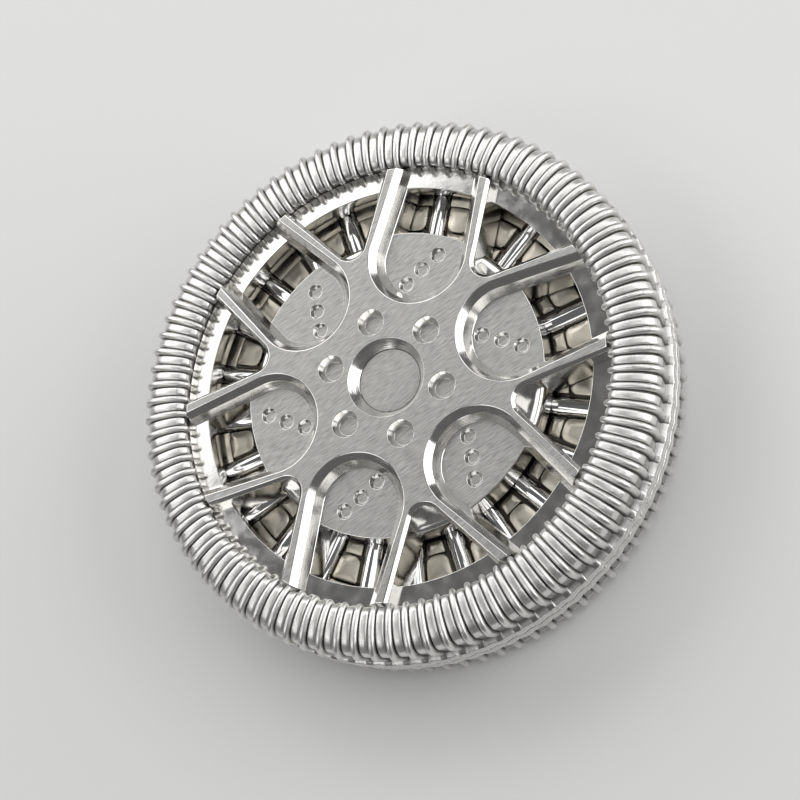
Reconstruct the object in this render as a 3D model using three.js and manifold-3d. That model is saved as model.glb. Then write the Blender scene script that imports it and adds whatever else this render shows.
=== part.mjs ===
// Fidget wheel: two alloy-wheel halves that turn against each other on a flat needle-roller bearing.
// Units are millimetres, +Z is the wheel axis, and the toy lies on its rear face on z = 0.
import * as THREE from 'three';
import { mergeVertices } from 'three/addons/utils/BufferGeometryUtils.js';
import Module from 'manifold-3d';

const wasm = await Module();
wasm.setup();

// ---- overall ----
const HALF_THICK = 6.3;        // middle plane to rib crest
const SEAM_HALF_GAP = 0.15;    // each half stands this far off the middle plane

// ---- wheel disc, heights above the middle plane ----
const FACE_Z = 5.7;            // brushed hub and spoke face
const POCKET_Z = 4.0;          // floor of the six U pockets
const LEDGE_Z = 4.15;          // flat land around the rim
const V_LEDGE_Z = 3.4;         // small land under each V window tip
const RACE_Z = 1.04;           // underside that the rollers run on
const PILOT_Z = 0.25;          // end of the boss that centres the cage
const BOSS_R = 15.9;           // wall of the hub boss beside the rollers
const PILOT_R = 14.6;
const SPOKE_END_R = 21.95;     // spokes stop here, under the tongues of the tyre
const RIM_IN_R = 20.7;
const RIM_OUT_R = 23.04;

// ---- features of the wheel face ----
const FOLD = 6;
const LUG_CIRCLE_R = 6.15;
const LUG_MOUTH_R = 1.41;
const LUG_FLOOR_R = 0.95;
const LUG_DEPTH = 0.85;
const HUB_MOUTH_R = 4.09;
const HUB_FLOOR_R = 3.3;
const HUB_DEPTH = 1.15;
const DOT_R = 0.8;
const DOT_FLOOR_R = 0.4;
const DOT_DEPTH = 0.45;
const DOTS = [[13.7, -1.6], [12.0, -0.2], [10.2, 1.05]];
const POCKET_CENTRE = 13.1;    // centre of the round end of a U pocket, from the axis
const POCKET_R = 5.29;
const POCKET_MOUTH_HALF = 4.6; // half width where the pocket runs out at the tyre
const POCKET_MOUTH_U = 23.4;
const POCKET_STEP1 = 0.62;     // upper slope: this far in over this far down
const POCKET_STEP2 = 1.23;     // total inset at the pocket floor
const V_TIP = 12.48;           // where the two sides of a V window would meet
const V_HALF_ANGLE = 31.8;     // degrees
const V_ROUND = 1.5;
const V_CHAMFER = 0.35;

// ---- tyre ----
const RIBS = 90;
const RIB_PHASE = 1.9;         // degrees
const TYRE_BORE_R = 23.1;

// ---- bearing ----
const ROLLERS = 24;
const ROLLER_PHASE = 3.2;      // degrees
const ROLLER_R = 1.0;
const ROLLER_MID = 19.0;
const ROLLER_LEN = 6.6;
const SLOT_CLEAR = 0.05;
const CAGE_IN_R = 14.9;
const CAGE_OUT_R = 22.7;

// ---- centre fittings ----
const CAP_R = 3.25;
const CAP_BORE_R = 3.3;
const SHAFT_R = 1.6;
const SHAFT_BORE_R = 1.65;
const NUT_R = 2.5;
const NUT_WELL_R = 2.8;
const NUT_SEAT_Z = 1.9;
const NUT_TOP_Z = 3.1;
const CAP_SEAT_Z = 3.5;
const SEAT_GAP = 0.03;

const rad = (d) => d * Math.PI / 180;

// ---------- solids ----------
function toManifold(geometry) {
  const bare = geometry.clone();
  bare.deleteAttribute('normal');
  bare.deleteAttribute('uv');
  const merged = mergeVertices(bare, 1e-5);
  return new wasm.Manifold(new wasm.Mesh({
    numProp: 3,
    vertProperties: new Float32Array(merged.attributes.position.array),
    triVerts: new Uint32Array(merged.index.array),
  }));
}

function indexed(positions, index) {
  const geometry = new THREE.BufferGeometry();
  geometry.setAttribute('position', new THREE.Float32BufferAttribute(positions, 3));
  geometry.setIndex(index);
  return geometry;
}

function toGeometry(solid) {
  const mesh = solid.getMesh();
  const geometry = indexed(mesh.vertProperties, Array.from(mesh.triVerts)).toNonIndexed();
  geometry.computeVertexNormals();
  return geometry;
}

// closed solid through a stack of outlines that all have the same number of points
function loft(layers) {
  const n = layers[0].points.length;
  const positions = layers.flatMap(({ z, points }) => points.flatMap(([x, y]) => [x, y, z]));
  const index = [];
  for (let k = 0; k < layers.length - 1; k++) {
    for (let i = 0; i < n; i++) {
      const a = k * n + i;
      const b = k * n + (i + 1) % n;
      index.push(a, b, b + n, a, b + n, a + n);
    }
  }
  const lid = ({ points }) => THREE.ShapeUtils.triangulateShape(
    points.map(([x, y]) => new THREE.Vector2(x, y)), []);
  const top = (layers.length - 1) * n;
  for (const [a, b, c] of lid(layers[0])) index.push(a, c, b);
  for (const [a, b, c] of lid(layers.at(-1))) index.push(top + a, top + b, top + c);
  return indexed(positions, index);
}

// closed ring-shaped skin from sections placed one after another around Z
function closedRing(sections) {
  const n = sections[0].length;
  const index = [];
  for (let j = 0; j < sections.length; j++) {
    const next = (j + 1) % sections.length;
    for (let i = 0; i < n; i++) {
      const a = j * n + i;
      const b = j * n + (i + 1) % n;
      const c = next * n + (i + 1) % n;
      const d = next * n + i;
      index.push(a, c, b, a, d, c);
    }
  }
  return indexed(sections.flat(2), index);
}

const atAngle = (angle) => ([r, z]) => [r * Math.cos(angle), r * Math.sin(angle), z];

// ring about Z from a closed [radius, height] profile that runs anticlockwise
function turnedRing(profile, segments) {
  const sections = [];
  for (let j = 0; j < segments; j++) {
    sections.push(profile.map(atAngle(2 * Math.PI * j / segments)));
  }
  return closedRing(sections);
}

// cylinder or cone frustum about Z: radius r0 at height z0, r1 at height z1
function drum(r0, r1, z0, z1, segments) {
  return new THREE.CylinderGeometry(r1, r0, z1 - z0, segments)
    .rotateX(Math.PI / 2)
    .translate(0, 0, (z0 + z1) / 2);
}

// cutter for a tapered round recess: its cone runs on past the mouth by half its depth
function recess(floorR, mouthR, floorZ, mouthZ, segments) {
  const overR = mouthR + (mouthR - floorR) / 2;
  const overZ = mouthZ + (mouthZ - floorZ) / 2;
  return drum(floorR, overR, floorZ, overZ, segments);
}

const join = (solids) => solids.reduce((sum, solid) => sum.add(solid));

// the same geometry repeated around Z and joined
function around(count, phase, geometry) {
  const solids = [];
  for (let k = 0; k < count; k++) {
    solids.push(toManifold(geometry.clone().rotateZ(rad(phase + 360 * k / count))));
  }
  return join(solids);
}

// ---------- outlines ----------
// U pocket, seen along its own centre line, moved inward by d
function pocketOutline(d) {
  const pts = [];
  const r = POCKET_R - d;
  const steps = 10;
  for (let i = 0; i <= steps; i++) {
    const a = rad(90 + 180 * i / steps);
    pts.push([POCKET_CENTRE + r * Math.cos(a), r * Math.sin(a)]);
  }
  pts.push([POCKET_MOUTH_U, -(POCKET_MOUTH_HALF - d)]);
  pts.push([POCKET_MOUTH_U, POCKET_MOUTH_HALF - d]);
  return pts;
}

// V window, seen along its own centre line, moved outward by d
function veeOutline(d) {
  const half = rad(V_HALF_ANGLE);
  const tip = V_TIP - d / Math.sin(half);
  const round = V_ROUND + d;
  const centre = tip + round / Math.sin(half);
  const pts = [];
  const steps = 3;
  for (let i = 0; i <= steps; i++) {
    const a = Math.PI / 2 + half + (Math.PI - 2 * half) * i / steps;
    pts.push([centre + round * Math.cos(a), round * Math.sin(a)]);
  }
  const reach = 24.0;
  const spread = (reach - tip) * Math.tan(half);
  pts.push([reach, -spread]);
  pts.push([reach, spread]);
  return pts;
}

// ---------- one wheel half, face up, its seam side towards z = 0 ----------
function wheelSolid() {
  const below = -1;
  const above = FACE_Z + 1;
  const disc = toManifold(drum(SPOKE_END_R, SPOKE_END_R, RACE_Z, FACE_Z, 60));
  const boss = toManifold(drum(BOSS_R, BOSS_R, below - 1, above, 60));
  const rimBore = toManifold(drum(RIM_IN_R, RIM_IN_R, below - 1, above, 60));

  const pocket = around(FOLD, 30, loft([
    { z: POCKET_Z, points: pocketOutline(POCKET_STEP2) },
    { z: FACE_Z - POCKET_STEP1, points: pocketOutline(POCKET_STEP1) },
    { z: FACE_Z, points: pocketOutline(0) },
    { z: above, points: pocketOutline(0) },
  ]));
  const pocketWell = around(FOLD, 30, loft([
    { z: below, points: pocketOutline(POCKET_STEP2) },
    { z: POCKET_Z + 0.1, points: pocketOutline(POCKET_STEP2) },
  ]));
  const vee = around(FOLD, 0, loft([
    { z: V_LEDGE_Z, points: veeOutline(0) },
    { z: FACE_Z - V_CHAMFER, points: veeOutline(0) },
    { z: FACE_Z, points: veeOutline(V_CHAMFER) },
    { z: above, points: veeOutline(V_CHAMFER) },
  ]));
  const veeWell = around(FOLD, 0, loft([
    { z: below, points: veeOutline(0) },
    { z: V_LEDGE_Z + 0.1, points: veeOutline(0) },
  ]));
  // the wells leave the hub boss whole and cut right through outside it
  const wells = pocketWell.add(veeWell).subtract(boss);

  const lugs = around(FOLD, 0, recess(LUG_FLOOR_R, LUG_MOUTH_R, FACE_Z - LUG_DEPTH, FACE_Z, 12)
    .translate(LUG_CIRCLE_R, 0, 0));
  const dots = join(DOTS.map(([u, v]) => around(FOLD, 30,
    recess(DOT_FLOOR_R, DOT_R, POCKET_Z - DOT_DEPTH, POCKET_Z, 8).translate(u, v, 0))));

  const rim = toManifold(drum(RIM_OUT_R, RIM_OUT_R, RACE_Z, LEDGE_Z, 60)).subtract(rimBore);
  const pilot = toManifold(drum(PILOT_R, PILOT_R, PILOT_Z, RACE_Z + 0.5, 36));
  const centre = join([
    recess(HUB_FLOOR_R, HUB_MOUTH_R, FACE_Z - HUB_DEPTH, FACE_Z, 24),
    drum(CAP_BORE_R, CAP_BORE_R, CAP_SEAT_Z, FACE_Z, 24),
    drum(NUT_WELL_R, NUT_WELL_R, NUT_SEAT_Z, FACE_Z, 24),
    drum(SHAFT_BORE_R, SHAFT_BORE_R, below, FACE_Z, 24),
  ].map(toManifold));

  return join([disc.subtract(join([pocket, vee, wells])), rim, pilot])
    .subtract(join([lugs, dots, centre]));
}

// ---------- one ribbed tyre half ----------
// each row is one line round the tyre: radius and height in a flute, then on a ridge
const TYRE_LINES = [
  [TYRE_BORE_R, SEAM_HALF_GAP, TYRE_BORE_R, SEAM_HALF_GAP],
  [27.8, SEAM_HALF_GAP, 28.0, SEAM_HALF_GAP],
  [27.8, 1.45, 28.0, 1.45],
  [26.95, 1.75, 27.7, 1.6],
  [26.95, 4.4, 27.7, 4.5],
  [26.2, 5.5, 26.8, 5.8],
  [24.6, 6.05, 24.6, HALF_THICK],
  [22.55, 5.7, 22.25, 6.05],
  [22.55, 4.9, 22.25, 4.9],
  [TYRE_BORE_R, 4.5, TYRE_BORE_R, 4.5],
];

function tyreSolid() {
  const sections = [];
  for (let j = 0; j < RIBS * 2; j++) {
    const onRidge = j % 2 === 0;
    const profile = TYRE_LINES.map(([fluteR, fluteZ, ridgeR, ridgeZ]) => (
      onRidge ? [ridgeR, ridgeZ] : [fluteR, fluteZ]));
    sections.push(profile.map(atAngle(rad(RIB_PHASE + 180 * j / RIBS))));
  }
  return toManifold(closedRing(sections));
}

// ---------- bearing ----------
// pressed sheet cage with a raised middle, and an open slot round each roller
function cageSolid() {
  const ring = toManifold(turnedRing([
    [CAGE_IN_R, -0.7], [17.1, -0.7], [17.4, -0.2], [20.0, -0.2], [20.3, -0.7], [CAGE_OUT_R, -0.7],
    [CAGE_OUT_R, 0.3], [20.5, 0.3], [20.2, 0.8], [17.5, 0.8], [17.2, 0.3], [CAGE_IN_R, 0.3],
  ], 48));
  const slotLength = ROLLER_LEN + 2 * SLOT_CLEAR;
  const slotWidth = 2 * (ROLLER_R + SLOT_CLEAR);
  const slot = new THREE.BoxGeometry(slotLength, slotWidth, 4).translate(ROLLER_MID, 0, 0);
  return ring.subtract(around(ROLLERS, ROLLER_PHASE, slot));
}

// ---------- centre fittings, face up ----------
function capSolid() {
  return toManifold(drum(CAP_R, CAP_R, CAP_SEAT_Z + SEAT_GAP, FACE_Z - HUB_DEPTH, 24));
}

// shaft with its head in the rear hub
function spindleSolid() {
  const head = toManifold(drum(NUT_R, NUT_R, -NUT_TOP_Z, -NUT_SEAT_Z - SEAT_GAP, 24));
  const shaft = toManifold(drum(SHAFT_R, SHAFT_R, -NUT_SEAT_Z - 0.5, NUT_TOP_Z + 0.2, 24));
  return head.add(shaft);
}

function nutSolid() {
  const hexagon = toManifold(drum(NUT_R, NUT_R, NUT_SEAT_Z + SEAT_GAP, NUT_TOP_Z, 6));
  const bore = toManifold(drum(SHAFT_R + 0.01, SHAFT_R + 0.01, 0, NUT_TOP_Z + 1, 24));
  return hexagon.subtract(bore);
}

// ---------- scene ----------
const metal = (color, roughness) => new THREE.MeshStandardMaterial({ color, roughness, metalness: 1 });
const castAlloy = metal(0xc4c3bf, 0.3);
const polishedAlloy = metal(0xcfcecb, 0.25);
const capAlloy = metal(0xbebdb9, 0.35);
const darkSteel = metal(0xa9a9a8, 0.3);
const nickelSteel = metal(0xb8aa92, 0.35);
const rollerSteel = metal(0xdadada, 0.1);

function part(name, geometry, material) {
  const mesh = new THREE.Mesh(geometry, material);
  mesh.name = name;
  return mesh;
}

const group = new THREE.Group();
group.name = 'fidget_wheel';

// both halves are the same three pieces, and the rear one is turned over
const wheelGeometry = toGeometry(wheelSolid());
const tyreGeometry = toGeometry(tyreSolid());
const capGeometry = toGeometry(capSolid());
for (const side of ['front', 'rear']) {
  const half = new THREE.Group();
  half.add(part(side + '_wheel', wheelGeometry, castAlloy));
  half.add(part(side + '_tyre', tyreGeometry, polishedAlloy));
  half.add(part(side + '_cap', capGeometry, capAlloy));
  half.position.z = HALF_THICK;
  half.rotation.x = side === 'rear' ? Math.PI : 0;
  group.add(half);
}

const core = new THREE.Group();
core.position.z = HALF_THICK;
core.add(part('spindle', toGeometry(spindleSolid()), darkSteel));
core.add(part('spindle_nut', toGeometry(nutSolid()), darkSteel));
core.add(part('bearing_cage', toGeometry(cageSolid()), nickelSteel));
const rollerGeometry = new THREE.CylinderGeometry(ROLLER_R, ROLLER_R, ROLLER_LEN, 12).rotateZ(-Math.PI / 2);
for (let k = 0; k < ROLLERS; k++) {
  const angle = rad(ROLLER_PHASE + 360 * k / ROLLERS);
  const roller = part('roller_' + String(k + 1).padStart(2, '0'), rollerGeometry, rollerSteel);
  roller.position.set(ROLLER_MID * Math.cos(angle), ROLLER_MID * Math.sin(angle), 0);
  roller.rotation.z = angle;
  core.add(roller);
}
group.add(core);

export default group;
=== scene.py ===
"""Looks for the fidget wheel: fine meshes, metals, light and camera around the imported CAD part.

Shapes are worked out in millimetres for one half, face up, with z = 0 on the middle plane of the
toy. They are placed in metres in the frame of the CAD part. The rear half is the front one turned
over.
"""

import math

import bpy
import numpy as np
from mathutils import Matrix, Vector


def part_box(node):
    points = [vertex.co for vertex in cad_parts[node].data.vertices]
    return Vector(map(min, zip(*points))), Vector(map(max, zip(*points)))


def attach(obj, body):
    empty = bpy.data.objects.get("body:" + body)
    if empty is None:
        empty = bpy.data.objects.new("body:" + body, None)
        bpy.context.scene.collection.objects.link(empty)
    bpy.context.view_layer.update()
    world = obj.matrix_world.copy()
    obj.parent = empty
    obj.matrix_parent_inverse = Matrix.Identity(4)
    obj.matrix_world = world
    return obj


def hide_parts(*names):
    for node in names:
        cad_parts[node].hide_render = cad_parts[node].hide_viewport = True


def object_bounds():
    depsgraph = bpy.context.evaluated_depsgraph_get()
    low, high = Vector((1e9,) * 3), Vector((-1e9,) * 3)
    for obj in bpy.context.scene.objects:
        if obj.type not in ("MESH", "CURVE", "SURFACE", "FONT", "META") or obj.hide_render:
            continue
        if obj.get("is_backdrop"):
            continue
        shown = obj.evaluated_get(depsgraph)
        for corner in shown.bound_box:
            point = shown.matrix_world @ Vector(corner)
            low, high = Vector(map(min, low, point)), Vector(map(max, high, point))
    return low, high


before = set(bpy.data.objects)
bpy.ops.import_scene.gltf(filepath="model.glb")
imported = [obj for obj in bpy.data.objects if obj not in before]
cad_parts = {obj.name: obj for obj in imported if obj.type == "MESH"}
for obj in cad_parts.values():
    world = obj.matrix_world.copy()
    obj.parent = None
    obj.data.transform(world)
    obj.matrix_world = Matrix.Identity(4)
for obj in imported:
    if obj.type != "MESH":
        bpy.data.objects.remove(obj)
cad_low, cad_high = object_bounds()

MM = 0.001
MIDDLE = (cad_low.z + cad_high.z) / 2 / MM


def height(node):
    """Lowest and highest level of a CAD node, in millimetres above the middle plane."""
    low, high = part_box(node)
    return low.z / MM - MIDDLE, high.z / MM - MIDDLE


def reach(node):
    """Largest distance of a CAD node's box from the wheel axis, in millimetres."""
    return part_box(node)[1].x / MM


# ---- sizes in millimetres, the first ones read from the CAD part ----
FACE_Z = height("front_wheel")[1]
PILOT_Z = height("front_wheel")[0]
SEAM_Z, CREST_Z = height("front_tyre")
RIM_OUT_R = reach("front_wheel")
FLANGE_R = reach("front_tyre")
CAP_R = reach("front_cap")
CAP_LOW, CAP_TOP = height("front_cap")
ROLLER_R = height("roller_01")[1]

POCKET_Z = 4.0
LEDGE_Z = 4.15
V_LEDGE_Z = 3.4
RACE_Z = 1.04
BOSS_R = 15.9
PILOT_R = 14.6
SHAFT_BORE_R = 1.65
NUT_WELL_R, NUT_SEAT_Z = 2.8, 1.9
CAP_SIDE_GAP, CAP_UNDER_GAP = 0.05, 0.03
SPOKE_END_R = 22.45
RIM_IN_R = 20.7
FOLD = 6
HALF_FOLD = 30

LUG_CIRCLE_R = 6.15
LUG_MOUTH_R, LUG_FLOOR_R, LUG_DEPTH = 1.41, 1.0, 0.95
HUB_MOUTH_R, HUB_FLOOR_R = 4.09, 3.3
DOT_MOUTH_R, DOT_FLOOR_R, DOT_DEPTH = 0.8, 0.52, 0.42
DOTS = [(13.7, -1.6), (12.0, -0.2), (10.2, 1.05)]
POCKET_CENTRE, POCKET_R = 13.1, 5.29
POCKET_MOUTH_HALF, POCKET_MOUTH_U = 4.6, 23.4
POCKET_STEP1, POCKET_STEP2 = 0.62, 1.23
V_TIP, V_HALF_ANGLE, V_ROUND, V_CHAMFER = 12.48, 31.8, 1.5, 0.35
V_REACH = 24.0
V_LEDGE_SOFT = 1.1
EDGE = 0.1
LIFT = 0.001
CUTTER_LOW, CUTTER_OVER, BOSS_LOW = -1, 1, -3

RIBS = 90
RIB_PHASE = 1.9
TYRE_BORE_R = 23.1

ROLLERS = 24
ROLLER_LEN = 6.6
ROLLER_FLAT = 0.55
SLOT_HALF = 1.05
SLOT_IN_R, SLOT_OUT_R = 15.65, 22.35
PAD_EDGE, PAD_DOME, PAD_ROOT = 0.16, 0.13, -0.2
CAGE_IN_R = 14.9
CHANNEL_IN_R, CHANNEL_OUT_R = 17.3, 20.15
CHANNEL_Z, INNER_BAND_Z, OUTER_BAND_Z = 0.05, 0.1, 0.3
# cage faces below this height get painted shadow
PAINTED_SHADOW_BELOW = 0.25
BRUSH_ANGLE = 44.0

# ---- corners round a full turn ----
WHEEL_SIDES, PILOT_SIDES, HUB_SIDES, LUG_SIDES, DOT_SIDES = 180, 120, 96, 48, 32
CAGE_SIDES, ROLLER_SIDES = 240, 40


# ---------- mesh tools, all in millimetres ----------
def rounded(corners, steps=4):
    """Line through (x, y, size) corners. A corner with a size is rounded, from that far off."""
    points = []
    count = len(corners)
    for k, (x, y, size) in enumerate(corners):
        corner = np.array((x, y))
        if size == 0:
            points.append(corner)
            continue
        before = np.array(corners[k - 1][:2]) - corner
        after = np.array(corners[(k + 1) % count][:2]) - corner
        start = corner + before / np.linalg.norm(before) * size
        end = corner + after / np.linalg.norm(after) * size
        for s in np.linspace(0, 1, steps + 1):
            points.append((1 - s) ** 2 * start + 2 * s * (1 - s) * corner + s * s * end)
    return np.array(points)


def skin(name, grid, close_rows, lids=False):
    """Mesh over a grid of points whose rows are closed loops. Lids close the first and last row."""
    rows, count = grid.shape[:2]
    faces = []
    for j in range(rows if close_rows else rows - 1):
        a, b = j * count, (j + 1) % rows * count
        for i in range(count):
            n = (i + 1) % count
            faces.append((a + i, a + n, b + n, b + i))
    if lids:
        faces.append(tuple(reversed(range(count))))
        faces.append(tuple((rows - 1) * count + i for i in range(count)))
    mesh = bpy.data.meshes.new(name)
    mesh.from_pydata(grid.reshape(-1, 3).tolist(), [], faces)
    return mesh


def loft(name, layers):
    """Closed solid through (outline, z) layers that go upward, each outline anticlockwise."""
    grid = [np.column_stack((outline, np.full(len(outline), z))) for outline, z in layers]
    return skin(name, np.array(grid), close_rows=False, lids=True)


def circle(radius, segments):
    angle = np.arange(segments) / segments * math.tau
    return np.column_stack((radius * np.cos(angle), radius * np.sin(angle)))


def turned(name, profile, segments):
    """Closed solid about Z through (radius, z) points that go upward."""
    return loft(name, [(circle(radius, segments), z) for radius, z in profile])


def turned_ring(name, profile, segments):
    """Ring about Z with a closed (radius, z) section, anticlockwise."""
    sections = [at_angle(profile, math.tau * j / segments) for j in range(segments)]
    return skin(name, np.array(sections)[:, ::-1], close_rows=True)


def at_angle(profile, angle):
    """A (radius, z) profile stood up at an angle about Z."""
    radius, z = np.asarray(profile).T
    return np.column_stack((radius * math.cos(angle), radius * math.sin(angle), z))


def merged(name, meshes):
    """One mesh with everything in it."""
    points, faces = [], []
    for mesh in meshes:
        base = len(points)
        points.extend(tuple(v.co) for v in mesh.vertices)
        faces.extend(tuple(base + i for i in p.vertices) for p in mesh.polygons)
    made = bpy.data.meshes.new(name)
    made.from_pydata(points, [], faces)
    return made


def moved(mesh, matrix):
    copy = mesh.copy()
    copy.transform(matrix)
    return copy


def around(name, mesh, count, phase):
    """The same mesh repeated about Z."""
    turns = [Matrix.Rotation(math.radians(phase + 360 * k / count), 4, "Z") for k in range(count)]
    return merged(name, [moved(mesh, turn) for turn in turns])


def boolean(base, tool, operation):
    """Base joined with tool, or with tool cut from it."""
    objects = [bpy.data.objects.new(m.name, m) for m in (base, tool)]
    for o in objects:
        bpy.context.scene.collection.objects.link(o)
    modifier = objects[0].modifiers.new("join", "BOOLEAN")
    modifier.object = objects[1]
    modifier.operation = operation
    modifier.solver = "MANIFOLD"
    graph = bpy.context.evaluated_depsgraph_get()
    result = bpy.data.meshes.new_from_object(objects[0].evaluated_get(graph))
    for o in objects:
        bpy.data.objects.remove(o)
    result.materials.clear()
    return result


def cut(base, *tools):
    for tool in tools:
        base = boolean(base, tool, "DIFFERENCE")
    return base


def join(base, *tools):
    for tool in tools:
        base = boolean(base, tool, "UNION")
    return base


# ---------- wheel ----------
def pocket_outline(inset):
    """U pocket, seen along its own centre line, moved inward."""
    angles = np.radians(np.linspace(90, 270, 41))
    radius = POCKET_R - inset
    arc = np.column_stack((POCKET_CENTRE + radius * np.cos(angles), radius * np.sin(angles)))
    half = POCKET_MOUTH_HALF - inset
    return np.vstack((arc, [(POCKET_MOUTH_U, -half), (POCKET_MOUTH_U, half)]))


def vee_outline(outset):
    """V window, seen along its own centre line, moved outward."""
    half = math.radians(V_HALF_ANGLE)
    tip = V_TIP - outset / math.sin(half)
    radius = V_ROUND + outset
    centre = tip + radius / math.sin(half)
    angles = np.linspace(math.pi / 2 + half, 3 * math.pi / 2 - half, 15)
    arc = np.column_stack((centre + radius * np.cos(angles), radius * np.sin(angles)))
    spread = (V_REACH - tip) * math.tan(half)
    return np.vstack((arc, [(V_REACH, -spread), (V_REACH, spread)]))


def recess(floor_r, mouth_r, floor_z, mouth_z, segments):
    """Cutter for a tapered round recess with a soft floor corner and a soft mouth edge."""
    top = mouth_z + LIFT
    profile = rounded([
        (floor_r - 2 * EDGE, floor_z, 0),
        (floor_r, floor_z, 0.3 * EDGE),
        (mouth_r, top, 0.4 * EDGE),
        (mouth_r + 2 * EDGE, top, 0),
        (mouth_r + 2 * EDGE, top + 0.5, 0),
    ])
    return turned("recess", profile, segments)


def boss(top, soft):
    """The hub boss under a window. Its top edge is rounded off, from that far off the corner."""
    profile = rounded([
        (BOSS_R, BOSS_LOW, 0),
        (BOSS_R, top + LIFT, soft),
        (BOSS_R - 3 * soft, top + LIFT, 0),
    ])
    return turned("boss", profile, WHEEL_SIDES)


def wheel_mesh():
    above = FACE_Z + CUTTER_OVER
    disc = turned("disc", rounded([
        (SPOKE_END_R, RACE_Z, 0), (SPOKE_END_R, FACE_Z, EDGE), (SPOKE_END_R - 1, FACE_Z, 0),
    ]), WHEEL_SIDES)
    pocket_line = rounded([
        (POCKET_STEP2 + 2 * EDGE, POCKET_Z, 0),
        (POCKET_STEP2, POCKET_Z, 1.2 * EDGE),
        (POCKET_STEP1, FACE_Z - POCKET_STEP1, 0.6 * EDGE),
        (0, FACE_Z + LIFT, 0.8 * EDGE),
        (-2 * EDGE, FACE_Z + LIFT, 0),
        (-2 * EDGE, above, 0),
    ])
    pocket = loft("pocket", [(pocket_outline(inset), z) for inset, z in pocket_line])
    vee_line = rounded([
        (0, V_LEDGE_Z, 0),
        (0, FACE_Z - V_CHAMFER, 0.8 * EDGE),
        (V_CHAMFER, FACE_Z + LIFT, 0.8 * EDGE),
        (V_CHAMFER + 2 * EDGE, FACE_Z + LIFT, 0),
        (V_CHAMFER + 2 * EDGE, above, 0),
    ])
    vee = loft("vee", [(vee_outline(outset), z) for outset, z in vee_line])
    pocket_levels = (CUTTER_LOW, POCKET_Z + EDGE)
    pocket_well = loft("well", [(pocket_outline(POCKET_STEP2), z) for z in pocket_levels])
    vee_well = loft("well", [(vee_outline(0), z) for z in (CUTTER_LOW, V_LEDGE_Z + EDGE)])

    lug = recess(LUG_FLOOR_R, LUG_MOUTH_R, FACE_Z - LUG_DEPTH, FACE_Z, LUG_SIDES)
    lug = moved(lug, Matrix.Translation((LUG_CIRCLE_R, 0, 0)))
    dot = recess(DOT_FLOOR_R, DOT_MOUTH_R, POCKET_Z - DOT_DEPTH, POCKET_Z, DOT_SIDES)
    dots = merged("dots", [moved(dot, Matrix.Translation((u, v, 0))) for u, v in DOTS])
    hub = recess(HUB_FLOOR_R, HUB_MOUTH_R, CAP_TOP, FACE_Z, HUB_SIDES)
    cap_seat, cap_bore = CAP_LOW - CAP_UNDER_GAP, CAP_R + CAP_SIDE_GAP
    bore = turned("bore", [
        (SHAFT_BORE_R, PILOT_Z - 1), (SHAFT_BORE_R, NUT_SEAT_Z), (NUT_WELL_R, NUT_SEAT_Z),
        (NUT_WELL_R, cap_seat), (cap_bore, cap_seat), (cap_bore, FACE_Z),
    ], HUB_SIDES)

    wheel = cut(
        disc,
        around("pockets", pocket, FOLD, HALF_FOLD),
        around("vees", vee, FOLD, 0),
        cut(around("wells", pocket_well, FOLD, HALF_FOLD), boss(POCKET_Z, EDGE)),
        cut(around("wells", vee_well, FOLD, 0), boss(V_LEDGE_Z, V_LEDGE_SOFT)),
    )
    rim = turned_ring("rim", rounded([
        (RIM_IN_R + 0.5, RACE_Z, 0),
        (RIM_OUT_R, RACE_Z, EDGE),
        (RIM_OUT_R, LEDGE_Z, EDGE),
        (RIM_IN_R, LEDGE_Z, 0.7 * EDGE),
        (RIM_IN_R, RACE_Z + 1.6, 1.2),
    ]), WHEEL_SIDES)
    pilot = turned("pilot", [
        (PILOT_R - EDGE, PILOT_Z), (PILOT_R, PILOT_Z + EDGE), (PILOT_R, RACE_Z + 0.5),
    ], PILOT_SIDES)
    return cut(
        join(wheel, rim, pilot),
        around("lugs", lug, FOLD, 0),
        around("dots", dots, FOLD, HALF_FOLD),
        hub,
        bore,
    )


# ---------- tyre ----------
FLANGE_TOP = 1.42
LINE_Z, LINE_HALF, LINE_DEPTH = 0.78, 0.12, 0.14
CREST_RISE = 0.13
FLANGE_WAVE = 0.1
FLANGE_RAGGED = 0.07
TREAD_TOP = 4.2
# share of painted shade on the tread, where the tyre's colour is darkened
TREAD_SHADE = 0.75


def tyre_line(waist, bulge, shoulder, crown, bend, tip, under):
    """Closed section from the seam over the flange, tread and crown to the inner end of a rib.

    Each corner is radius, height, and how far from it the rounding starts.
    """
    return rounded([
        (TYRE_BORE_R, SEAM_Z, 0),
        (FLANGE_R, SEAM_Z, 0.12),
        (FLANGE_R, LINE_Z - LINE_HALF, 0),
        (FLANGE_R - LINE_DEPTH, LINE_Z, 0),
        (FLANGE_R, LINE_Z + LINE_HALF, 0),
        (FLANGE_R, FLANGE_TOP, 0.15),
        (*waist, 0.1),
        (*bulge, 0.6),
        (*shoulder, 0.75),
        (*crown, 1.3),
        (*bend, 0.3),
        (*tip, 0.3),
        (*under, 0.15),
        (TYRE_BORE_R, 4.5, 0),
    ])


RIDGE_LINE = tyre_line(
    waist=(27.5, 1.6), bulge=(27.92, 4.9), shoulder=(27.1, 6.0),
    crown=(24.8, CREST_Z + CREST_RISE), bend=(23.15, 6.02), tip=(22.4, 5.5), under=(22.55, 4.9),
)
PAD_LINE = tyre_line(
    waist=(27.2, 1.65), bulge=(27.5, 4.75), shoulder=(26.75, 5.77),
    crown=(24.8, 6.24), bend=(23.3, 5.95), tip=(22.75, 5.5), under=(22.9, 4.9),
)
GROOVE_LINE = tyre_line(
    waist=(27.05, 1.7), bulge=(27.2, 4.65), shoulder=(26.45, 5.5),
    crown=(24.8, 5.95), bend=(23.6, 5.75), tip=(23.15, 5.4), under=(23.2, 4.9),
)
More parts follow.
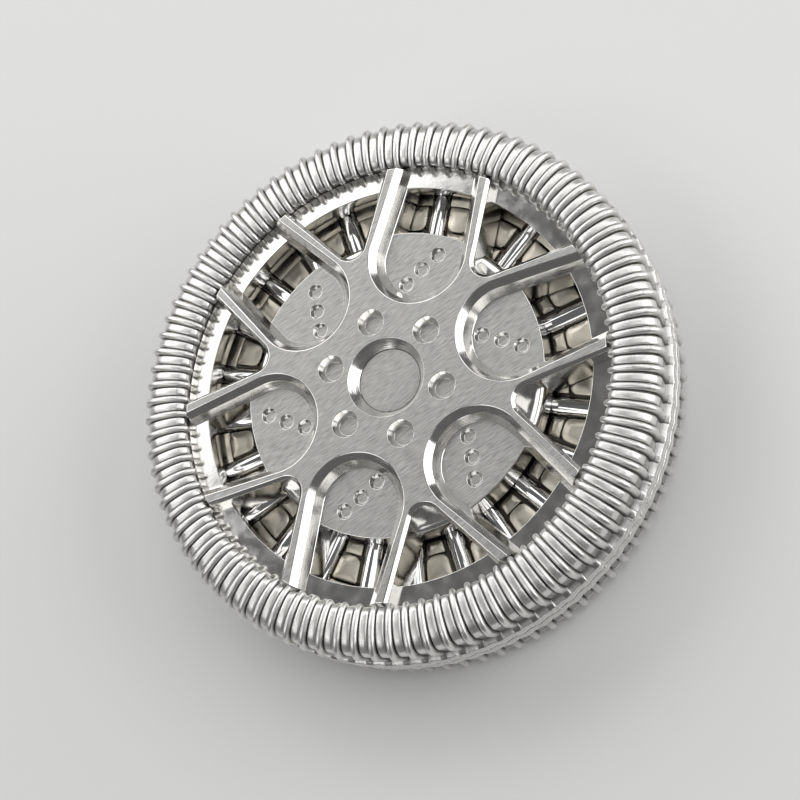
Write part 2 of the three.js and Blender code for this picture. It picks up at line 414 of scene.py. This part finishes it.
# places across one pitch, as a share of it, with the share of ridge and of pad there
RIDGE_HALF = 0.2
BLUNT = 0.72
RIDGE_COLUMNS = [
    (RIDGE_HALF * math.copysign(abs(math.sin(s)) ** BLUNT, s), max(math.cos(s), 0) ** BLUNT, 0)
    for s in np.radians(np.linspace(-90, 90, 11))
]
PAD_COLUMNS = [
    (0.24, 0, 0), (0.255, 0, 0.5), (0.28, 0, 0.8), (0.32, 0, 0.94), (0.38, 0, 1), (0.46, 0, 0.99),
    (0.55, 0, 1), (0.64, 0, 0.97), (0.695, 0, 0.86), (0.74, 0, 0.5), (0.76, 0, 0),
]
COLUMNS = RIDGE_COLUMNS + PAD_COLUMNS


def tyre_mesh():
    """Ribbed ring, with a point attribute of painted shade that says how deep in a groove or on the
    tread it is.
    """
    sections, shades = [], []
    ragged = np.random.default_rng(5).uniform(0, FLANGE_RAGGED, (RIBS, len(COLUMNS)))
    for rib in range(RIBS):
        for column, (place, ridge, pad) in enumerate(COLUMNS):
            groove = 1 - ridge - pad
            section = ridge * RIDGE_LINE + pad * PAD_LINE + groove * GROOVE_LINE
            radius, z = section.T
            on_flange = (z < FLANGE_TOP + 0.05) & (radius > FLANGE_R - 0.3)
            on_tread = (z > FLANGE_TOP + 0.05) & (z < TREAD_TOP) & (radius > FLANGE_R - 2)
            wave = FLANGE_WAVE * math.sin(math.pi * place) ** 2 + ragged[rib, column]
            section[:, 0] -= np.where(on_flange, wave, 0)
            angle = math.radians(RIB_PHASE + 360 / RIBS * (rib + place))
            sections.append(at_angle(section, angle))
            # painted shade: the colour gets darker deep in a groove and on the tread
            shades.append(np.where(on_flange, 0, np.maximum(groove, TREAD_SHADE * on_tread)))
    mesh = skin("tyre", np.array(sections)[:, ::-1], close_rows=True)
    attribute = mesh.attributes.new("shade", "FLOAT", "POINT")
    attribute.data.foreach_set("value", np.array(shades)[:, ::-1].astype(np.float32).ravel())
    return mesh


# ---------- bearing ----------
def pad_outline(low_r, high_r, low_half, high_half, soft, inset):
    """Four-sided pad of the cage, along +X, with its inner corners rounder than its outer ones."""
    a, b = low_r + inset, high_r - inset
    p, q = low_half - inset, high_half - inset
    soft = min(soft, 0.45 * (b - a), 0.9 * p)
    return rounded([(a, -p, soft), (b, -q, 0.3 * soft), (b, q, 0.3 * soft), (a, p, soft)], steps=6)


def pad(low_r, high_r, low_half, high_half, soft, top):
    """Pad that stands on the cage sheet, with a rounded edge and a low dome."""
    inward = 0.85 * min(low_half, 0.5 * (high_r - low_r))
    layers = [(0, PAD_ROOT)]
    for t in np.radians(np.linspace(0, 72, 5)):
        drop = PAD_EDGE * (1 - math.sin(t))
        layers.append((PAD_EDGE * (1 - math.cos(t)), top - PAD_DOME - drop))
    for u in np.linspace(0.1, 1, 6):
        layers.append((PAD_EDGE + u * (inward - PAD_EDGE), top - PAD_DOME * (1 - u) ** 2))
    return loft("pad", [
        (pad_outline(low_r, high_r, low_half, high_half, soft, inset), z) for inset, z in layers
    ])


def cage_mesh(phase):
    """Slotted sheet with a channel pressed into it, and a broad and a small pad between slots."""
    low, top = height("bearing_cage")
    outer = reach("bearing_cage")
    sheet = turned_ring("sheet", rounded([
        (CAGE_IN_R, low, 0.1),
        (outer, low, 0.1),
        (outer, OUTER_BAND_Z, 0.15),
        (CHANNEL_OUT_R + 0.3, OUTER_BAND_Z, 0.15),
        (CHANNEL_OUT_R, CHANNEL_Z, 0.1),
        (CHANNEL_IN_R, CHANNEL_Z, 0.1),
        (CHANNEL_IN_R - 0.2, INNER_BAND_Z, 0),
        (CAGE_IN_R, INNER_BAND_Z, 0.1),
    ]), CAGE_SIDES)
    slot_outline = rounded([
        (SLOT_IN_R, -SLOT_HALF, 0.15), (SLOT_OUT_R, -SLOT_HALF, 0.15),
        (SLOT_OUT_R, SLOT_HALF, 0.15), (SLOT_IN_R, SLOT_HALF, 0.15),
    ])
    slot = loft("slot", [(slot_outline, -2), (slot_outline, 2)])
    half_step = 180 / ROLLERS
    broad = pad(low_r=17.5, high_r=20.15, low_half=1.08, high_half=1.4, soft=0.8, top=top)
    small = pad(low_r=16.05, high_r=17.35, low_half=0.82, high_half=0.95, soft=0.25, top=top - 0.22)
    return join(
        cut(sheet, around("slots", slot, ROLLERS, phase)),
        around("pads", merged("pads", [broad, small]), ROLLERS, phase + half_step),
    )


def roller_mesh(length):
    """Needle roller along its own Z, with rounded ends and a small flat on each."""
    half = length / 2
    flat = ROLLER_FLAT * ROLLER_R
    profile = rounded([
        (flat, -half, 0), (ROLLER_R, -half, 0.18), (ROLLER_R, half, 0.18), (flat, half, 0),
    ])
    return turned("roller", profile, ROLLER_SIDES)


def cap_mesh():
    profile = rounded([(CAP_R, CAP_LOW, 0), (CAP_R, CAP_TOP, 0.06), (CAP_R - 1, CAP_TOP, 0)])
    return turned("cap", profile, HUB_SIDES)


# ---------- materials ----------
class Shader:
    """A metal with helpers that add nodes to it."""

    def __init__(self, name, color, roughness):
        self.material = bpy.data.materials.new(name)
        self.material.use_nodes = True
        self.tree = self.material.node_tree
        self.bsdf = self.tree.nodes["Principled BSDF"]
        self.bsdf.inputs["Metallic"].default_value = 1.0
        self.bsdf.inputs["Base Color"].default_value = (*color, 1)
        self.bsdf.inputs["Roughness"].default_value = roughness

    def node(self, kind, **values):
        node = self.tree.nodes.new(kind)
        for key, value in values.items():
            setattr(node, key, value)
        return node

    def link(self, output, target):
        self.tree.links.new(output, target)

    def noise(self, vector, scale, detail=3.0, stretch=(1, 1, 1)):
        """Noise with features 1/scale of the vector's unit across."""
        mapping = self.node("ShaderNodeMapping")
        mapping.inputs["Scale"].default_value = [scale * s for s in stretch]
        self.link(vector, mapping.inputs["Vector"])
        noise = self.node("ShaderNodeTexNoise")
        noise.inputs["Scale"].default_value = 1.0
        noise.inputs["Detail"].default_value = detail
        self.link(mapping.outputs["Vector"], noise.inputs["Vector"])
        return noise.outputs["Fac"]

    def math(self, operation, a, b):
        node = self.node("ShaderNodeMath", operation=operation)
        for socket, value in zip(node.inputs, (a, b)):
            if isinstance(value, (int, float)):
                socket.default_value = value
            else:
                self.link(value, socket)
        return node.outputs[0]

    def ramp(self, value, low, high, start=0.0, end=1.0):
        """Value mapped from start..end to low..high."""
        node = self.node("ShaderNodeMapRange")
        self.link(value, node.inputs["Value"])
        limits = {"From Min": start, "From Max": end, "To Min": low, "To Max": high}
        for key, number in limits.items():
            node.inputs[key].default_value = number
        return node.outputs["Result"]

    def tint(self, value, dark, light):
        """Base colour that runs from dark to light with the value."""
        node = self.node("ShaderNodeMix", data_type="RGBA")
        colors = [s for s in node.inputs if s.type == "RGBA"]
        colors[0].default_value = (*dark, 1)
        colors[1].default_value = (*light, 1)
        self.link(value, node.inputs["Factor"])
        result = [s for s in node.outputs if s.type == "RGBA"][0]
        self.link(result, self.bsdf.inputs["Base Color"])

    def bump(self, layers):
        """Stacked bumps from (height, distance in millimetres) pairs."""
        previous = None
        for value, distance in layers:
            node = self.node("ShaderNodeBump")
            node.inputs["Distance"].default_value = distance * MM
            self.link(value, node.inputs["Height"])
            if previous is not None:
                self.link(previous, node.inputs["Normal"])
            previous = node.outputs["Normal"]
        self.link(previous, self.bsdf.inputs["Normal"])

    def place(self):
        """Position in the part, in metres."""
        return self.node("ShaderNodeTexCoord").outputs["Object"]

    def brush_map(self):
        """Flat map whose first axis runs along the brushing, in millimetres."""
        return self.node("ShaderNodeUVMap", uv_map="brush").outputs["UV"]


def brushed(name, color, roughness, line_gap, line_depth):
    """Straight brushing along the first axis of the brush map."""
    s = Shader(name, color, roughness)
    flat = s.brush_map()
    place = s.place()
    fine = s.noise(flat, 1 / line_gap, 3, (0.07, 1, 1))
    wide = s.noise(flat, 0.4 / line_gap, 2, (0.12, 1, 1))
    scratch = s.ramp(s.noise(flat, 1.2 / line_gap, 1, (0.03, 1, 1)), 0, 1, 0.68, 0.76)
    cloud = s.noise(place, 260, 3)
    lines = s.math("ADD", s.math("MULTIPLY", fine, 0.8), s.math("MULTIPLY", wide, 0.2))
    streaks = s.ramp(lines, roughness - 0.07, roughness + 0.07, 0.3, 0.7)
    patches = s.ramp(cloud, -0.03, 0.03, 0.3, 0.7)
    s.link(s.math("ADD", streaks, patches), s.bsdf.inputs["Roughness"])
    dark, light = [c * 0.74 for c in color], [min(1, c * 1.28) for c in color]
    s.tint(s.ramp(lines, 0, 1, 0.38, 0.62), dark, light)
    grain = s.noise(place, 6500, 2)
    s.bump([(lines, line_depth), (scratch, -0.5 * line_depth), (grain, 0.8 * line_depth)])
    s.bsdf.inputs["Anisotropic"].default_value = 0.4
    tangent = s.node("ShaderNodeTangent", direction_type="UV_MAP", uv_map="brush")
    s.link(tangent.outputs["Tangent"], s.bsdf.inputs["Tangent"])
    return s.material


def polished(name, color, roughness, wave, grain, passes=0):
    """Bright metal with slow waves, a fine grain and level cutter passes, as depths in mm."""
    s = Shader(name, color, roughness)
    place = s.place()
    slow = s.noise(place, 700, 2)
    small = s.noise(place, 5200, 3)
    s.link(s.ramp(slow, roughness * 0.7, roughness * 1.5, 0.3, 0.7), s.bsdf.inputs["Roughness"])
    s.tint(s.ramp(slow, 0, 1, 0.3, 0.7), [c * 0.93 for c in color], color)
    layers = [(slow, wave), (small, grain)]
    if passes:
        layers.append((s.noise(place, 350, 1, (1, 1, 24)), passes))
    s.bump(layers)
    return s.material


def ribbed(name, color, dark):
    """The tyre, with painted shade that makes it darker down in its grooves and on its tread."""
    s = Shader(name, color, 0.36)
    place = s.place()
    slow = s.noise(place, 900, 2)
    small = s.noise(place, 5500, 3)
    shade = s.node("ShaderNodeAttribute", attribute_name="shade").outputs["Fac"]
    s.link(s.ramp(small, 0.3, 0.46, 0.3, 0.7), s.bsdf.inputs["Roughness"])
    # painted shade: grooves and tread take the darker colour
    s.tint(s.ramp(shade, 1, 0, 0.2, 1), dark, color)
    s.bump([(slow, 0.015), (small, 0.012)])
    return s.material


SILVER = (0.80, 0.79, 0.765)
GREY = (0.42, 0.416, 0.40)
# colour of the painted shade in the tyre's grooves and on its tread
GROOVE_PAINTED_SHADE = (0.22, 0.216, 0.205)
NICKEL = (0.70, 0.655, 0.565)
# near-black colour of the painted shadow on the cage sheet
SHADOW_DARK = (0.10, 0.092, 0.08)
STEEL = (0.86, 0.86, 0.86)
DARK_STEEL = (0.55, 0.55, 0.54)

FACE_METAL = brushed("brushed_face", GREY, roughness=0.5, line_gap=0.085, line_depth=0.012)
CAP_METAL = brushed("brushed_cap", GREY, roughness=0.5, line_gap=0.07, line_depth=0.009)
WALL_METAL = polished(
    "polished_wall", SILVER, roughness=0.14, wave=0.007, grain=0.001, passes=0.006
)
TYRE_METAL = ribbed("polished_ribs", SILVER, GROOVE_PAINTED_SHADE)
CAGE_METAL = polished("nickel_sheet", NICKEL, roughness=0.36, wave=0.02, grain=0.01)
CAGE_PAINTED_SHADOW = polished("painted_shadow_sheet", SHADOW_DARK, roughness=0.3, wave=0.02, grain=0.01)
ROLLER_METAL = polished("ground_steel", STEEL, roughness=0.07, wave=0.001, grain=0.0006)
FASTENER_METAL = polished("turned_steel", DARK_STEEL, roughness=0.25, wave=0.004, grain=0.003)


# ---------- pieces ----------
def sharpen(mesh, angle):
    """Smooth shading with creases only where faces meet at more than the angle."""
    mesh.shade_smooth()
    mesh.set_sharp_from_angle(angle=math.radians(angle))


def brush_uv(mesh):
    """Flat map in millimetres, seen from above, whose first axis runs along the brushing."""
    angle = math.radians(BRUSH_ANGLE)
    co = np.empty(len(mesh.vertices) * 3)
    mesh.vertices.foreach_get("co", co)
    x, y, z = co.reshape(-1, 3).T
    u = x * math.cos(angle) + y * math.sin(angle)
    v = y * math.cos(angle) - x * math.sin(angle)
    corner = np.empty(len(mesh.loops), np.int32)
    mesh.loops.foreach_get("vertex_index", corner)
    layer = mesh.uv_layers.new(name="brush")
    layer.data.foreach_set("uv", np.column_stack((u, v))[corner].astype(np.float32).ravel())


LEVEL_GAP = 0.004
FLAT_UP = 0.999


def paint_levels(mesh, levels):
    """Flat faces at these heights get the second material, all others the first."""
    for polygon in mesh.polygons:
        at_level = any(abs(polygon.center.z - level) < LEVEL_GAP for level in levels)
        polygon.material_index = int(at_level and polygon.normal.z > FLAT_UP)


def paint_below(mesh, level):
    """Faces lower than the level get the second material, which is painted shadow."""
    for polygon in mesh.polygons:
        polygon.material_index = int(polygon.center.z < level)


FRONT = Matrix.Translation((0, 0, MIDDLE * MM)) @ Matrix.Scale(MM, 4)
REAR = FRONT @ Matrix.Rotation(math.pi, 4, "X")


def piece(name, mesh, matrix, materials, body, stands_for):
    """A shown piece made of the mesh, riding on a CAD body in place of a CAD node."""
    mesh = moved(mesh, matrix)
    mesh.name = name
    for material in materials:
        mesh.materials.append(material)
    obj = bpy.data.objects.new(name, mesh)
    bpy.context.scene.collection.objects.link(obj)
    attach(obj, body)
    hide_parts(stands_for)
    return obj


def even_normals(obj):
    """Large flat faces keep their own normal, and the small ones beside them blend into it."""
    modifier = obj.modifiers.new("normals", "WEIGHTED_NORMAL")
    modifier.keep_sharp = True
    modifier.weight = 90


wheel = wheel_mesh()
sharpen(wheel, 35)
brush_uv(wheel)
paint_levels(wheel, (FACE_Z, POCKET_Z, FACE_Z - LUG_DEPTH, POCKET_Z - DOT_DEPTH))
tyre = tyre_mesh()
sharpen(tyre, 75)
cap = cap_mesh()
sharpen(cap, 35)
brush_uv(cap)
for side, matrix in (("front", FRONT), ("rear", REAR)):
    for slot, mesh, materials in (
        ("wheel", wheel, (WALL_METAL, FACE_METAL)),
        ("tyre", tyre, (TYRE_METAL,)),
        ("cap", cap, (CAP_METAL,)),
    ):
        node = side + "_" + slot
        shown = piece(node + "_fine", mesh, matrix, materials, side + "_half", node)
        if slot != "tyre":
            even_normals(shown)

first_low, first_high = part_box("roller_01")
first = (first_low + first_high) / 2
phase = math.degrees(math.atan2(first.y, first.x))
cage = cage_mesh(phase)
sharpen(cage, 40)
# painted shadow: the low sheet between the pads is coloured near black
paint_below(cage, PAINTED_SHADOW_BELOW)
piece("bearing_cage_fine", cage, FRONT, (CAGE_METAL, CAGE_PAINTED_SHADOW), "cage", "bearing_cage")

roller = roller_mesh(ROLLER_LEN)
sharpen(roller, 60)
for k in range(ROLLERS):
    node = f"roller_{k + 1:02d}"
    low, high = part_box(node)
    at = (low + high) / 2
    spin = Matrix.Rotation(math.atan2(at.y, at.x), 4, "Z") @ Matrix.Rotation(math.pi / 2, 4, "Y")
    matrix = Matrix.Translation(at) @ spin @ Matrix.Scale(MM, 4)
    piece(node + "_fine", roller, matrix, (ROLLER_METAL,), node, node)

for node in ("spindle", "spindle_nut"):
    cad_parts[node].data.materials.clear()
    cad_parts[node].data.materials.append(FASTENER_METAL)

# ---------- studio ----------
FLOOR_HALF = 1.5
FLOOR_COLOR, FLOOR_ROUGHNESS = (0.78, 0.78, 0.77, 1), 0.6
ROOM_GREY = (0.13, 0.13, 0.13, 1)

floor_mesh = bpy.data.meshes.new("floor")
floor_signs = ((-1, -1), (1, -1), (1, 1), (-1, 1))
floor_corners = [(x * FLOOR_HALF, y * FLOOR_HALF, 0) for x, y in floor_signs]
floor_mesh.from_pydata(floor_corners, [], [(0, 1, 2, 3)])
floor = bpy.data.objects.new("floor", floor_mesh)
bpy.context.scene.collection.objects.link(floor)
paper = bpy.data.materials.new("pale_floor")
paper.use_nodes = True
paper_inputs = paper.node_tree.nodes["Principled BSDF"].inputs
paper_inputs["Base Color"].default_value = FLOOR_COLOR
paper_inputs["Roughness"].default_value = FLOOR_ROUGHNESS
floor_mesh.materials.append(paper)
floor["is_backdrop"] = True

centre = (cad_low + cad_high) / 2


def direction(azimuth, elevation):
    a, e = math.radians(azimuth), math.radians(elevation)
    return Vector((math.cos(a) * math.cos(e), math.sin(a) * math.cos(e), math.sin(e)))


LAMP_DISTANCE = 0.45


def softbox(name, azimuth, elevation, width, tall, radiance):
    """Rectangular lamp that looks at the object, in metres and degrees."""
    lamp = bpy.data.lights.new(name, "AREA")
    lamp.shape = "RECTANGLE"
    lamp.size, lamp.size_y = width, tall
    lamp.energy = math.pi * radiance * width * tall
    obj = bpy.data.objects.new(name, lamp)
    bpy.context.scene.collection.objects.link(obj)
    towards = direction(azimuth, elevation)
    obj.location = centre + towards * LAMP_DISTANCE
    obj.rotation_euler = towards.to_track_quat("Z", "Y").to_euler()


softbox("key_light", azimuth=28, elevation=24, width=0.50, tall=0.30, radiance=2.6)
softbox("back_light", azimuth=154, elevation=39, width=0.44, tall=0.31, radiance=2.0)
softbox("side_light", azimuth=90, elevation=44, width=0.28, tall=0.26, radiance=1.6)
softbox("top_light", azimuth=28, elevation=68, width=0.24, tall=0.24, radiance=1.4)
softbox("low_light", azimuth=-128, elevation=50, width=0.28, tall=0.24, radiance=1.6)

world = bpy.data.worlds.new("studio")
bpy.context.scene.world = world
world.use_nodes = True
world.node_tree.nodes["Background"].inputs["Color"].default_value = ROOM_GREY
bpy.context.scene.view_settings.view_transform = "Standard"

# ---------- camera ----------
CAM_AZIMUTH, CAM_ELEVATION, CAM_ROLL = -23.7, 62.6, 54.8
CAM_DISTANCE = 0.1522
CAM_AIM = Vector((1.62, -1.83, 10.85)) * MM
CAM_LENS = 69.2

camera_data = bpy.data.cameras.new("camera")
camera_data.lens = CAM_LENS
camera_data.clip_start = 0.01
camera = bpy.data.objects.new("camera", camera_data)
bpy.context.scene.collection.objects.link(camera)
back = direction(CAM_AZIMUTH, CAM_ELEVATION)
level = back.to_track_quat("Z", "Y").to_matrix().to_4x4()
camera.matrix_world = (
    Matrix.Translation(CAM_AIM + back * CAM_DISTANCE)
    @ level
    @ Matrix.Rotation(math.radians(-CAM_ROLL), 4, "Z")
)
bpy.context.scene.camera = camera

low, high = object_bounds()
